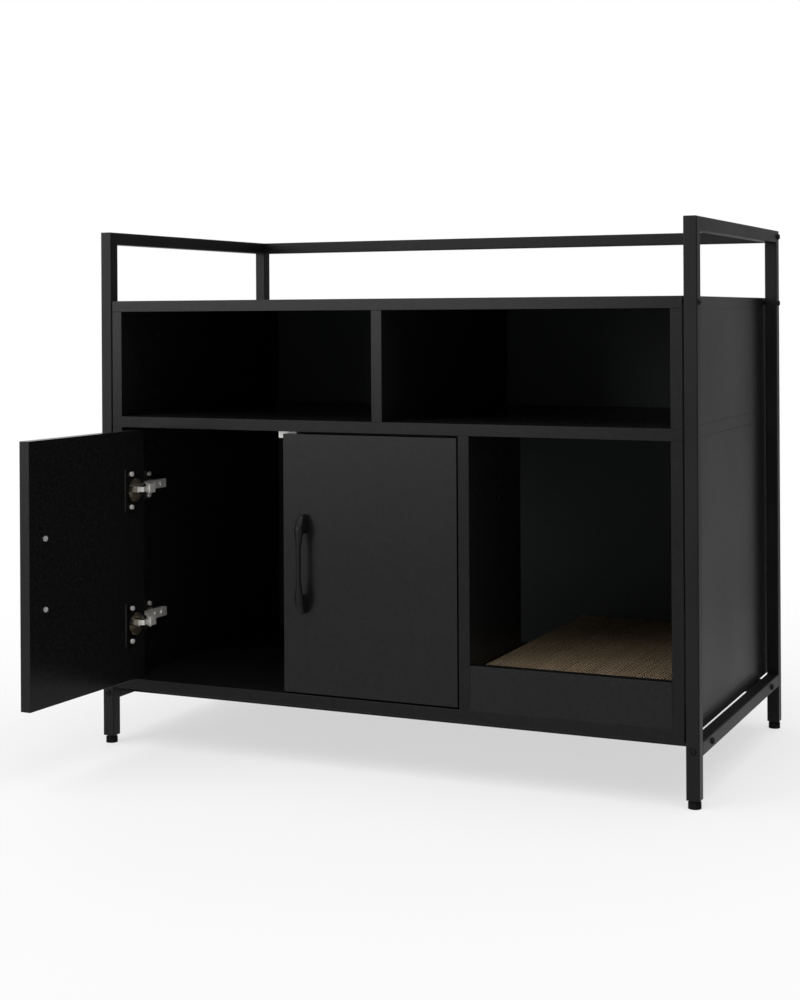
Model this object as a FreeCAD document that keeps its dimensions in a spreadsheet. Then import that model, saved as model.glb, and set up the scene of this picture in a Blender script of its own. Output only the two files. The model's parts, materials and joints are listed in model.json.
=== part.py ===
"""Cabinet that hides a litter box: a square tube frame, laminated boards and two doors on cup hinges.

Millimetres, +Z up, the doors face -Y. The origin lies on the floor under the middle of the object's
overall box, which is measured with the left door swung open, as the object is stored. Every size is a
cell of the sheet "Sizes"; places are formulas of those cells.
"""
import FreeCAD, Part
import Sketcher
import os
import re

Vector = FreeCAD.Vector
Rotation = FreeCAD.Rotation

# ---------------------------------------------------------------- driving sizes

SIZES = {
    # overall, measured over the tube frame
    "overall_width": 900,
    "overall_depth": 486,
    "overall_height": 755,
    # square steel tube
    "tube_size": 18,
    "tube_wall": 1.2,
    "tube_corner": 1.5,
    "rail_underside": 65,
    "cross_bar_inset": 57,
    # boards
    "board_thickness": 16,
    "board_gap": 1.5,
    "board_easing": 0.5,
    "lower_bay_height": 368.5,
    "upper_bay_height": 153.8,
    "lower_divider_face": 120.3,
    "lower_divider_depth": 197,
    "sill_height": 60.4,
    "back_panel_thickness": 3,
    "back_panel_seam": 0.5,
    "back_panel_margin": 1,
    # doors
    "door_thickness": 16,
    "door_side_gap": 2,
    "door_centre_gap": 2.3,
    "door_bottom_gap": 2.5,
    "door_top_gap": 3.3,
    "left_door_opening": 92.2,
    # hinge line, from the door's front corner on its hinge side
    "hinge_inset": 12,
    "hinge_depth": 0.5,
    "hinge_top_distance": 87,
    "hinge_bottom_distance": 80.5,
    # hinge cup
    "cup_radius": 17.5,
    "cup_depth": 12.5,
    "cup_wall": 0.8,
    "cup_edge_distance": 5,
    "cup_fit": 0.05,
    "flange_length": 62,
    "flange_width": 23,
    "flange_reach": 24,
    "flange_corner": 3,
    "flange_thickness": 1.2,
    "flange_screw_pitch": 48,
    "flange_screw_offset": 9.5,
    "cup_cheek_gap": 5,
    "cup_cheek_wall": 1.2,
    "cup_cheek_offset": 13.5,
    "cup_cheek_length": 8,
    "cup_cheek_rise": 3,
    # hinge link: its tip rides in the cup, its eye turns on the arm's pin
    "link_tip_inset": 1,
    "link_tip_depth": 13.5,
    "link_eye_reach": 26.5,
    "link_knee_along": 15.3,
    "link_knee_offset": 6.6,
    "link_thickness": 2.2,
    "link_width": 7,
    "link_eye_radius": 2.3,
    "link_tip_radius": 1.6,
    "link_tip_pin_radius": 0.9,
    "link_tip_pin_length": 9.4,
    "arm_pin_radius": 1.4,
    "running_fit": 0.08,
    # hinge arm and mounting plate
    "arm_width": 13,
    "arm_cheek": 2.2,
    "arm_web": 1.5,
    "arm_nose": 2.7,
    "arm_nose_back": 4.2,
    "arm_neck": 24,
    "arm_crank": 43,
    "arm_step": 5,
    "arm_end": 102,
    "arm_height": 8.5,
    "arm_screw_front": 70,
    "arm_screw_back": 88,
    "plate_thickness": 2.5,
    "plate_start": 46,
    "plate_end": 100,
    "plate_wing": 68,
    "plate_wing_width": 14,
    "plate_wing_span": 44,
    "plate_screw_pitch": 32,
    # handle
    "handle_pitch": 96,
    "handle_inset": 33,
    "handle_length": 139,
    "handle_standoff": 21,
    "handle_bar": 6,
    "handle_waist": 7.5,
    "handle_end_width": 13,
    "handle_foot": 27,
    "handle_shoulder": 12,
    "handle_taper": 18,
    "handle_easing": 1.8,
    # door stop
    "stop_width": 29,
    "stop_height": 10.5,
    "stop_depth": 34,
    "stop_clearance": 0.3,
    "stop_screw_pitch": 18,
    # scratching pad
    "pad_thickness": 53,
    "pad_side_gap": 3.2,
    "pad_front_gap": 1,
    "pad_back_gap": 15,
    "pad_seat": 0.3,
    # feet
    "foot_height": 11,
    "foot_radius": 8.5,
    "foot_gap": 0.2,
    "foot_neck_radius": 6.5,
    "foot_neck_height": 2.5,
    "foot_flute_radius": 1.2,
    "foot_flute_count": 12,
    "foot_stud_radius": 3,
    "foot_stud_length": 20,
    "foot_insert_height": 14,
    # frame bolts
    "bolt_radius": 3,
    "bolt_length": 32,
    "bolt_head_radius": 5,
    "bolt_head_height": 3,
    "bolt_crown_radius": 3.4,
    "bolt_socket_radius": 2,
    "bolt_socket_depth": 1.6,
    "bolt_clearance": 0.2,
    "end_nut_length": 13,
    "plug_fit": 0.1,
    "thread_fit": 0.05,
    # top board screws
    "board_screw_radius": 2.5,
    "board_screw_length": 50,
    "board_screw_head_radius": 4.5,
    "board_screw_head_height": 2.6,
    # small screws
    "small_screw_radius": 1.7,
    "small_screw_head_radius": 3.4,
    "small_screw_head_height": 1.5,
    "cup_screw_length": 11,
    "plate_screw_length": 14,
    "arm_screw_length": 9,
    "stop_screw_length": 22,
    "handle_screw_radius": 2,
    "handle_screw_length": 24,
    "handle_screw_head_radius": 3.6,
    "handle_screw_head_height": 2,
    # dowels, cam bolts and cam locks
    "dowel_radius": 4,
    "dowel_in_face": 10,
    "dowel_in_end": 20,
    "dowel_edge": 40,
    "dowel_shift": 20,
    "sill_dowel_edge": 60,
    "sill_dowel_rise": 40,
    "joint_fit": 0.1,
    "cam_radius": 7.5,
    "cam_depth": 12.4,
    "cam_setback": 34,
    "cam_edge": 80,
    "cam_bolt_radius": 3,
    "cam_thread_radius": 2.5,
    "cam_thread_length": 10,
    "cam_bolt_past": 2,
    "cam_slot": 1.6,
    "cam_slot_reach": 5.25,
    # back panel nails
    "nail_radius": 0.8,
    "nail_length": 18,
    "nail_head_radius": 2.5,
    "nail_head_height": 0.8,
    "nail_edge": 45,
}

# ---------------------------------------------------------------- places worked out from the sizes

PLACES = {
    "half_width": "overall_width / 2",
    "post_inner": "half_width - tube_size",
    "board_end": "post_inner - board_gap",
    "side_inner": "board_end - board_thickness",
    # how far the open left door reaches in front of its hinge line
    "door_reach": "(door_width - hinge_inset) * sin(left_door_opening) - door_back * cos(left_door_opening)",
    "front": "(door_reach - hinge_depth - overall_depth - bolt_head_height) / 2",
    "back": "front + overall_depth",
    "board_back": "back - back_panel_thickness",
    "post_bottom": "foot_height + foot_gap",
    "tube_middle": "half_width - tube_size / 2",
    "front_post_middle": "front + tube_size / 2",
    "back_post_middle": "back - tube_size / 2",
    "rail_middle": "rail_underside + tube_size / 2",
    "top_rail_middle": "overall_height - tube_size / 2",
    "tube_bore": "tube_size - 2 * tube_wall",
    "floor_bottom": "rail_underside + tube_size",
    "floor_top": "floor_bottom + board_thickness",
    "shelf_bottom": "floor_top + lower_bay_height",
    "shelf_top": "shelf_bottom + board_thickness",
    "shelf_middle": "shelf_bottom + board_thickness / 2",
    "top_bottom": "shelf_top + upper_bay_height",
    "top_top": "top_bottom + board_thickness",
    "top_middle": "top_bottom + board_thickness / 2",
    "divider_right": "lower_divider_face + board_thickness",
    "divider_back": "front + lower_divider_depth",
    "door_width": "(lower_divider_face + side_inner - 2 * door_side_gap - door_centre_gap) / 2",
    "door_bottom": "floor_top + door_bottom_gap",
    "door_top": "shelf_bottom - door_top_gap",
    "door_back": "door_thickness - hinge_depth",
    "left_hinge_line": "door_side_gap + hinge_inset - side_inner",
    "right_hinge_line": "lower_divider_face - door_side_gap - hinge_inset",
    "hinge_line_depth": "front + hinge_depth",
    "lower_hinge": "door_bottom + hinge_bottom_distance",
    "upper_hinge": "door_top - hinge_top_distance",
    "panel_face": "-(door_side_gap + hinge_inset)",
    "cup_middle": "cup_edge_distance + cup_radius - hinge_inset",
    "cup_floor": "door_back - cup_depth",
    "cheek_start": "cup_middle - cup_cheek_offset",
    "flange_face": "door_back + flange_thickness",
    "flange_end": "cup_middle + flange_reach",
    "cup_screw_line": "cup_middle + flange_screw_offset",
    # the pin line of the arm halves the angle between the link tip's closed and open places
    "tip_middle_x": "(link_tip_inset + link_tip_depth) / 2",
    "tip_middle_y": "(link_tip_depth - link_tip_inset) / 2",
    "tip_middle_reach": "hypot(tip_middle_x; tip_middle_y)",
    "eye_x": "link_eye_reach * tip_middle_x / tip_middle_reach",
    "eye_y": "link_eye_reach * tip_middle_y / tip_middle_reach",
    "link_length": "hypot(eye_x - link_tip_inset; eye_y - link_tip_depth)",
    "link_turn": "2 * asin(hypot(link_tip_inset; link_tip_depth) * sin(45) / link_length)",
    "nose_left": "eye_x - arm_nose",
    "nose_right": "eye_x + arm_nose_back",
    "nose_bottom": "eye_y - arm_nose",
    "arm_base": "panel_face + plate_thickness",
    "arm_top": "arm_base + arm_height",
    "handle_middle_x": "door_width - hinge_inset - handle_inset",
    "handle_middle_z": "(door_bottom + door_top) / 2",
    "meeting_line": "door_side_gap + door_width + door_centre_gap / 2 - side_inner",
    "stop_front": "front + door_thickness + stop_clearance",
    "foot_top": "foot_height - foot_neck_height",
    # how far a cutting tool runs past the face where it enters or leaves
    "past": "1",
}

document = FreeCAD.newDocument("cabinet")
sheet = document.addObject("Spreadsheet::Sheet", "Sizes")
for row, (name, value) in enumerate(SIZES.items(), start=1):
    sheet.set("A%d" % row, name.replace("_", " "))
    sheet.set("B%d" % row, str(value))
    sheet.setAlias("B%d" % row, name)
document.recompute()


def formula(text):
    """The text with each place written out and each size pointed at its cell."""
    def spell(word):
        name = word.group(0)
        if name in PLACES:
            return "(" + formula(PLACES[name]) + ")"
        if name in SIZES:
            return "Sizes." + name
        return name
    return re.sub(r"[A-Za-z_]+", spell, str(text))


def bind(item, prop, text):
    """Tie one property to a formula of the sheet."""
    item.setExpression(prop, formula(text))


def number(text):
    """The present value of a formula, for the first guess of a sketch."""
    value = sheet.evalExpression(formula(text))
    return float(getattr(value, "Value", value))


def put(item, x=0, y=0, z=0):
    """Place an object's origin."""
    for axis, text in zip("xyz", (x, y, z)):
        bind(item, "Placement.Base." + axis, text)
    return item


# ---------------------------------------------------------------- solids and how they combine

TURNS = {
    "+Z": Rotation(),
    "-Z": Rotation(Vector(1, 0, 0), 180),
    "+X": Rotation(Vector(0, 1, 0), 90),
    "-X": Rotation(Vector(0, 1, 0), -90),
    "+Y": Rotation(Vector(1, 0, 0), -90),
    "-Y": Rotation(Vector(1, 0, 0), 90),
}
NODES = []


def turn(item, direction):
    """Point an object's own +Z along a world direction."""
    item.Placement = FreeCAD.Placement(Vector(), TURNS[direction])
    return item


def box(x, y, z):
    """A box between two formulas along each axis."""
    item = document.addObject("Part::Box", "Box")
    for prop, (low, high) in zip(("Length", "Width", "Height"), (x, y, z)):
        bind(item, prop, "(%s) - (%s)" % (high, low))
    return put(item, x[0], y[0], z[0])


def rod(direction, radius, length, x, y, z):
    """A cylinder that starts at a point and runs along a direction."""
    item = turn(document.addObject("Part::Cylinder", "Rod"), direction)
    bind(item, "Radius", radius)
    bind(item, "Height", length)
    return put(item, x, y, z)


def cut(base, tools):
    """The base without the tools."""
    tool = tools[0]
    if len(tools) > 1:
        tool = document.addObject("Part::Compound", "Tools")
        tool.Links = tools
    item = document.addObject("Part::Cut", "Cut")
    item.Base = base
    item.Tool = tool
    return item


def join(pieces):
    """One solid out of several that overlap."""
    item = document.addObject("Part::MultiFuse", "Join")
    item.Shapes = pieces
    item.Refine = True
    return item


def node(label, item):
    """Name a finished piece."""
    item.Label = label
    NODES.append(item)
    return item


def group(label, pieces):
    """Identical small pieces that share one name and stay separate solids."""
    item = document.addObject("Part::Compound", "Group")
    item.Links = pieces
    return node(label, item)


def new_body(name):
    """An empty body."""
    return document.addObject("PartDesign::Body", name)


def primitive(body, kind, sizes, at=None):
    """Add a primitive to a body, or take it away, with bound sizes."""
    item = body.newObject("PartDesign::" + kind, kind)
    for prop, text in sizes.items():
        bind(item, prop, text)
    for axis, text in (at or {}).items():
        bind(item, "Placement.Base." + axis, text)
    document.recompute()
    return item


def edges_along(item, direction):
    """The names of a feature's straight edges along a direction."""
    names = []
    for index, edge in enumerate(item.Shape.Edges, start=1):
        straight = isinstance(edge.Curve, Part.Line)
        if straight and edge.tangentAt(edge.FirstParameter).cross(direction).Length < 1e-6:
            names.append("Edge%d" % index)
    return names


def round_edges(body, feature, radius, direction=None):
    """Round a feature's edges along a direction, or all of them."""
    fillet = body.newObject("PartDesign::Fillet", "Rounding")
    if direction is None:
        fillet.Base = (feature, [""])
        fillet.UseAllEdges = True
    else:
        fillet.Base = (feature, edges_along(feature, direction))
    bind(fillet, "Radius", radius)
    document.recompute()
    return fillet


def eased_box(x, y, z, easing="board_easing"):
    """A box with all its edges slightly rounded, as an edged board has."""
    body = new_body("Board")
    sizes = {}
    for prop, (low, high) in zip(("Length", "Width", "Height"), (x, y, z)):
        sizes[prop] = "(%s) - (%s)" % (high, low)
    block = primitive(body, "AdditiveBox", sizes)
    round_edges(body, block, easing)
    return put(body, x[0], y[0], z[0])


def board(label, x, y, z, holes=()):
    """A named board with its holes."""
    item = eased_box(x, y, z)
    if holes:
        item = cut(item, list(holes))
    return node(label, item)


def outline_pad(points, length, easing=None):
    """A flat outline in the XY plane, padded by half the length to each side of that plane."""
    body = new_body("Plate")
    sketch = body.newObject("Sketcher::SketchObject", "Outline")
    plane = [item for item in body.Origin.OriginFeatures if item.Role == "XY_Plane"][0]
    sketch.AttachmentSupport = [(plane, "")]
    sketch.MapMode = "FlatFace"
    spots = [Vector(number(x), number(y), 0) for x, y in points]
    count = len(spots)
    for index in range(count):
        sketch.addGeometry(Part.LineSegment(spots[index], spots[(index + 1) % count]), False)
    for index in range(count):
        sketch.addConstraint(Sketcher.Constraint("Coincident", index, 2, (index + 1) % count, 1))
    for index, (x, y) in enumerate(points):
        for kind, value, text in (("DistanceX", spots[index].x, x), ("DistanceY", spots[index].y, y)):
            constraint = sketch.addConstraint(Sketcher.Constraint(kind, -1, 1, index, 1, value))
            bind(sketch, "Constraints[%d]" % constraint, text)
    pad = body.newObject("PartDesign::Pad", "Pad")
    pad.Profile = sketch
    pad.Midplane = True
    bind(pad, "Length", length)
    document.recompute()
    if easing:
        round_edges(body, pad, easing, Vector(0, 0, 1))
    return body


def headed(direction, x, y, z, shank, length, head, height, crown=None, socket=None):
    """A screw, bolt or nail: its head stands on a face, its shank runs back from it."""
    stem = document.addObject("Part::Cylinder", "Shank")
    bind(stem, "Radius", shank)
    bind(stem, "Height", "%s + %s / 2" % (length, height))
    put(stem, 0, 0, "-(%s)" % length)
    if crown is None:
        cap = document.addObject("Part::Cylinder", "Head")
        bind(cap, "Radius", head)
    else:
        cap = document.addObject("Part::Cone", "Head")
        bind(cap, "Radius1", head)
        bind(cap, "Radius2", crown)
    bind(cap, "Height", height)
    item = join([stem, cap])
    if socket:
        radius, depth = socket
        key = document.addObject("Part::Prism", "Socket")
        key.Polygon = 6
        bind(key, "Circumradius", radius)
        bind(key, "Height", depth)
        put(key, 0, 0, "%s - %s" % (height, depth))
        item = cut(item, [key])
    turn(item, direction)
    return put(item, x, y, z)


# ---------------------------------------------------------------- square tubes

def tube_body(length_outer, start_inner, end_inner, mitred_start, mitred_end):
    """A tube along +Z: its y = 0 side runs its whole length, its far side is shorter at each mitre."""
    body = new_body("Tube")
    outer = {
        "Xmin": 0, "Xmax": "tube_size", "X2min": 0, "X2max": "tube_size",
        "Ymin": 0, "Ymax": "tube_size",
        "Zmin": 0, "Zmax": length_outer, "Z2min": start_inner, "Z2max": end_inner,
    }
    wedge = primitive(body, "AdditiveWedge", outer)
    round_edges(body, wedge, "tube_corner", Vector(0, 0, 1))
    lead = "tube_wall" if mitred_start else "0"
    tail = "tube_wall" if mitred_end else "0"
    bore = {
        "Xmin": "tube_wall", "Xmax": "tube_size - tube_wall",
        "X2min": "tube_wall", "X2max": "tube_size - tube_wall",
        "Ymin": "tube_wall", "Ymax": "tube_size - tube_wall",
        "Zmin": lead, "Zmax": "%s - %s" % (length_outer, tail),
        "Z2min": "%s - %s" % (start_inner, lead), "Z2max": "%s + %s" % (end_inner, tail),
    }
    primitive(body, "SubtractiveWedge", bore)
    return body


def straight_tube(length):
    """A tube that is cut square at both ends."""
    return tube_body(length, "0", length, False, False)


BOLT_HOLE = "bolt_radius + bolt_clearance"
SCREW_HOLE = "board_screw_radius + bolt_clearance"


def frame():
    """Four posts, three top rails, two bottom rails and two cross bars."""
    post_height = "overall_height - post_bottom"
    for side, sign in (("left", -1), ("right", 1)):
        middle = "%d * tube_middle" % sign
        outside = "%d * (half_width + past)" % sign
        inward = "+X" if sign < 0 else "-X"
        reach = "tube_size + 2 * past"
        corner_hole = ["top_rail_middle", "back_post_middle"]

        for end, level, start, along in (("front", "front_post_middle", "front - past", "+Y"),
                                         ("back", "back_post_middle", "back + past", "-Y")):
            post = tube_body(post_height, "0", post_height + " - tube_size", False, True)
            if end == "front":
                put(post, "%s - tube_size / 2" % middle, "front", "post_bottom")
            else:
                post.Placement = FreeCAD.Placement(Vector(), Rotation(Vector(0, 0, 1), 180))
                put(post, "%s + tube_size / 2" % middle, "back", "post_bottom")
            holes = [
                rod(along, BOLT_HOLE, reach, middle, start, "rail_middle"),
                rod(inward, SCREW_HOLE, reach, outside, level, "top_middle"),
            ]
            if end == "back":
                holes.append(rod(inward, BOLT_HOLE, reach, outside, corner_hole[1], corner_hole[0]))
            node("%s_%s_post" % (side, end), cut(post, holes))

        rail = tube_body("overall_depth", "tube_size", "overall_depth - tube_size", True, True)
        rail.Placement = FreeCAD.Placement(Vector(), Rotation(Vector(1, 0, 0), -90))
        put(rail, "%s - tube_size / 2" % middle, "front", "overall_height")
        hole = rod(inward, BOLT_HOLE, reach, outside, corner_hole[1], corner_hole[0])
        node("%s_top_rail" % side, cut(rail, [hole]))

        rail = straight_tube("overall_depth - 2 * tube_size")
        rail.Placement = FreeCAD.Placement(Vector(), Rotation(Vector(1, 0, 0), -90))
        put(rail, "%s - tube_size / 2" % middle, "front + tube_size", "floor_bottom")
        holes = []
        for place in CROSS_BARS.values():
            holes.append(rod(inward, BOLT_HOLE, reach, outside, place, "rail_middle"))
        node("%s_bottom_rail" % side, cut(rail, holes))

    across = {"back_top_rail": ("back - tube_size", "overall_height")}
    for name, place in CROSS_BARS.items():
        across[name] = ("%s - tube_size / 2" % place, "floor_bottom")
    for name, (place, top) in across.items():
        bar = straight_tube("2 * post_inner")
        bar.Placement = FreeCAD.Placement(Vector(), Rotation(Vector(0, 1, 0), 90))
        node(name, put(bar, "-post_inner", place, top))


CROSS_BARS = {
    "front_cross_bar": "front + cross_bar_inset + tube_size / 2",
    "back_cross_bar": "back - cross_bar_inset - tube_size / 2",
}


def end_nut(direction, x, y, z):
    """A square threaded plug in a tube's end, running inwards from that end."""
    side = "tube_bore - 2 * plug_fit"
    block = document.addObject("Part::Box", "Plug")
    bind(block, "Length", side)
    bind(block, "Width", side)
    bind(block, "Height", "end_nut_length")
    put(block, "-(%s) / 2" % side, "-(%s) / 2" % side, 0)
    bore = document.addObject("Part::Cylinder", "Thread")
    bind(bore, "Radius", "bolt_radius + thread_fit")
    bind(bore, "Height", "end_nut_length + 2 * past")
    put(bore, 0, 0, "-past")
    item = cut(block, [bore])
    turn(item, direction)
    return put(item, x, y, z)


def frame_fasteners():
    """Bolts with sockets, the nuts in the tube ends and the top board's screws."""
    bolt_head = ("bolt_head_radius", "bolt_head_height", "bolt_crown_radius",
                 ("bolt_socket_radius", "bolt_socket_depth"))
    screw_head = ("board_screw_head_radius", "board_screw_head_height", "bolt_crown_radius",
                  ("bolt_socket_radius", "bolt_socket_depth"))
    post_bolts = []
    bar_bolts = []
    rail_bolts = []
    board_screws = []
    nuts = []
    for sign in (-1, 1):
        middle = "%d * tube_middle" % sign
        outside = "%d * half_width" % sign
        inside = "%d * post_inner" % sign
        outward = "+X" if sign > 0 else "-X"
        inward = "-X" if sign > 0 else "+X"
        for direction, face in (("-Y", "front"), ("+Y", "back")):
            post_bolts.append(
                headed(direction, middle, face, "rail_middle", "bolt_radius", "bolt_length", *bolt_head))
        nuts.append(end_nut("+Y", middle, "front + tube_size", "rail_middle"))
        nuts.append(end_nut("-Y", middle, "back - tube_size", "rail_middle"))
        for place in CROSS_BARS.values():
            bar_bolts.append(
                headed(outward, outside, place, "rail_middle", "bolt_radius", "bolt_length", *bolt_head))
            nuts.append(end_nut(inward, inside, place, "rail_middle"))
        rail_bolts.append(headed(outward, outside, "back_post_middle", "top_rail_middle",
                                 "bolt_radius", "bolt_length", *bolt_head))
        nuts.append(end_nut(inward, inside, "back_post_middle", "top_rail_middle"))
        for place in ("front_post_middle", "back_post_middle"):
            board_screws.append(headed(outward, outside, place, "top_middle",
                                       "board_screw_radius", "board_screw_length", *screw_head))
    group("post_bolts", post_bolts)
    group("cross_bar_bolts", bar_bolts)
    group("back_rail_bolts", rail_bolts)
    group("tube_end_nuts", nuts)
    group("top_board_screws", board_screws)


# ---------------------------------------------------------------- board joints

def stations(front_edge, back_edge, shift):
    """Dowel and cam places along a panel's depth, the same at its front and back edges."""
    dowels = ["%s + dowel_edge + %s" % (front_edge, shift), "%s - dowel_edge - %s" % (back_edge, shift)]
    cams = ["%s + cam_edge + %s" % (front_edge, shift), "%s - cam_edge - %s" % (back_edge, shift)]
    return dowels, cams


# name: middle of its thickness, side of its cams, bottom, top, depth range, shift of its fittings
UPRIGHTS = {
    "lower_left_side": ("-(side_inner + board_end) / 2", 1, "floor_top", "shelf_bottom", "board_back",
                        "0"),
    "lower_right_side": ("(side_inner + board_end) / 2", -1, "floor_top", "shelf_bottom", "board_back",
                         "0"),
    "lower_divider": ("lower_divider_face + board_thickness / 2", 1, "floor_top", "shelf_bottom",
                      "divider_back", "0"),
    "upper_left_side": ("-(side_inner + board_end) / 2", 1, "shelf_top", "top_bottom", "board_back",
                        "dowel_shift"),
    "upper_right_side": ("(side_inner + board_end) / 2", -1, "shelf_top", "top_bottom", "board_back",
                         "dowel_shift"),
    "centre_divider": ("0", -1, "shelf_top", "top_bottom", "board_back", "dowel_shift"),
}
FACE_BOARDS = {"floor_top": "bottom_board", "shelf_bottom": "middle_shelf",
               "shelf_top": "middle_shelf", "top_bottom": "top_board"}


def board_joints():
    """Dowels, cam bolts and cam locks between uprights and flat boards, with the holes they need."""
    drilled = list(UPRIGHTS) + ["bottom_board", "middle_shelf", "top_board", "sill_board"]
    holes = {name: [] for name in drilled}
    dowels = []
    bolts = []
    locks = []
    for name, (middle, cam_side, bottom, top, depth_end, shift) in UPRIGHTS.items():
        dowel_places, cam_places = stations("front", depth_end, shift)
        for level, up in ((bottom, 1), (top, -1)):
            face_board = FACE_BOARDS[level]
            into_panel = "+Z" if up > 0 else "-Z"
            into_board = "-Z" if up > 0 else "+Z"
            for place in dowel_places:
                start = "%s - %d * dowel_in_face" % (level, up)
                dowels.append(rod(into_panel, "dowel_radius", "dowel_in_face + dowel_in_end",
                                  middle, place, start))
                holes[face_board].append(rod(into_board, "dowel_radius + joint_fit",
                                             "dowel_in_face + joint_fit", middle, place, level))
                holes[name].append(rod(into_panel, "dowel_radius + joint_fit",
                                       "dowel_in_end + joint_fit", middle, place, level))
            for place in cam_places:
                centre = "%s + %d * cam_setback" % (level, up)
                thread = rod(into_board, "cam_thread_radius", "cam_thread_length", middle, place, level)
                shank = rod(into_panel, "cam_bolt_radius", "cam_setback + cam_bolt_past",
                            middle, place, level)
                bolts.append(join([thread, shank]))
                holes[face_board].append(rod(into_board, "cam_thread_radius + thread_fit",
                                             "cam_thread_length + joint_fit", middle, place, level))
                holes[name].append(rod(into_panel, "cam_bolt_radius + joint_fit", "cam_setback",
                                       middle, place, level))
                face = "%s + %d * board_thickness / 2" % (middle, cam_side)
                inward = "-X" if cam_side > 0 else "+X"
                holes[name].append(rod(inward, "cam_radius + joint_fit", "cam_depth + joint_fit",
                                       face, place, centre))
                locks.append(cam_lock(face, inward, cam_side, place, centre, into_board))
    for x in ("divider_right + sill_dowel_edge", "side_inner - sill_dowel_edge"):
        place = "front + board_thickness / 2"
        dowels.append(rod("+Z", "dowel_radius", "dowel_in_face + dowel_in_end", x, place,
                          "floor_top - dowel_in_face"))
        holes["bottom_board"].append(rod("-Z", "dowel_radius + joint_fit", "dowel_in_face + joint_fit",
                                         x, place, "floor_top"))
        holes["sill_board"].append(rod("+Z", "dowel_radius + joint_fit", "dowel_in_end + joint_fit",
                                       x, place, "floor_top"))
    for x, out, back, neighbour, sign in (("divider_right", "-X", "+X", "lower_divider", -1),
                                          ("side_inner", "+X", "-X", "lower_right_side", 1)):
        place = ("front + board_thickness / 2", "floor_top + sill_dowel_rise")
        dowels.append(rod(back, "dowel_radius", "dowel_in_face + dowel_in_end",
                          "%s + %d * dowel_in_face" % (x, sign), *place))
        holes[neighbour].append(rod(out, "dowel_radius + joint_fit", "dowel_in_face + joint_fit",
                                    x, *place))
        holes["sill_board"].append(rod(back, "dowel_radius + joint_fit", "dowel_in_end + joint_fit",
                                       x, *place))
    group("dowels", dowels)
    group("cam_bolts", bolts)
    group("cam_locks", locks)
    return holes


def cam_lock(face, inward, cam_side, y, z, towards_board):
    """A slotted disc flush with the panel's face, open on its rim where the cam bolt enters."""
    disc = rod(inward, "cam_radius", "cam_depth", face, y, z)
    entry = rod(towards_board, "cam_bolt_radius + joint_fit", "cam_radius + past",
                "%s - %d * board_thickness / 2" % (face, cam_side), y, z)
    seat = rod("+Z", "cam_bolt_radius + joint_fit", "2 * (cam_bolt_past + joint_fit)",
               "%s - %d * board_thickness / 2" % (face, cam_side), y, "%s - cam_bolt_past - joint_fit" % z)
    slot_x = ("%s - cam_slot" % face, "%s + cam_slot" % face)
    flat = box(slot_x, ("%s - cam_slot_reach" % y, "%s + cam_slot_reach" % y),
               ("%s - cam_slot / 2" % z, "%s + cam_slot / 2" % z))
    upright = box(slot_x, ("%s - cam_slot / 2" % y, "%s + cam_slot / 2" % y),
                  ("%s - cam_slot_reach" % z, "%s + cam_slot_reach" % z))
    return cut(disc, [entry, seat, flat, upright])


# ---------------------------------------------------------------- boards and back panels

def nail_places():
    """Where nails go through the back panels: panel name, board behind it, x, z."""
    places = []
    rows = [
        ("lower_back_panel", "bottom_board", "floor_bottom + board_thickness / 2"),
        ("lower_back_panel", "middle_shelf", "shelf_middle - board_thickness / 4"),
        ("upper_back_panel", "middle_shelf", "shelf_middle + board_thickness / 4"),
        ("upper_back_panel", "top_board", "top_middle"),
    ]
    for panel, behind, z in rows:
        for step in (-2, -1, 0, 1, 2):
            places.append((panel, behind, "%d * (board_end - nail_edge) / 2" % step, z))
    for sign, side in ((-1, "left_side"), (1, "right_side")):
        x = "%d * (side_inner + board_end) / 2" % sign
        places.append(("lower_back_panel", "lower_" + side, x, "(floor_top + shelf_bottom) / 2"))
        places.append(("upper_back_panel", "upper_" + side, x, "(shelf_top + top_bottom) / 2"))
    return places


def back_panels(holes):
    """Two thin panels nailed to the boards' rear edges."""
    nails = []
    panel_holes = {"lower_back_panel": [], "upper_back_panel": []}
    for panel, behind, x, z in nail_places():
        nails.append(headed("+Y", x, "back", z, "nail_radius", "nail_length",
                            "nail_head_radius", "nail_head_height"))
        panel_holes[panel].append(rod("-Y", "nail_radius + thread_fit", "back_panel_thickness + 2 * past",
                                      x, "back + past", z))
        holes[behind].append(rod("-Y", "nail_radius + thread_fit",
                                 "nail_length - back_panel_thickness + joint_fit", x, "board_back", z))
    levels = {
        "lower_back_panel": ("floor_bottom + back_panel_margin", "shelf_middle - back_panel_seam / 2"),
        "upper_back_panel": ("shelf_middle + back_panel_seam / 2", "top_top - back_panel_margin"),
    }
    width = ("back_panel_margin - board_end", "board_end - back_panel_margin")
    for name, level in levels.items():
        node(name, cut(box(width, ("board_back", "back"), level), panel_holes[name]))
    group("back_panel_nails", nails)


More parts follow.
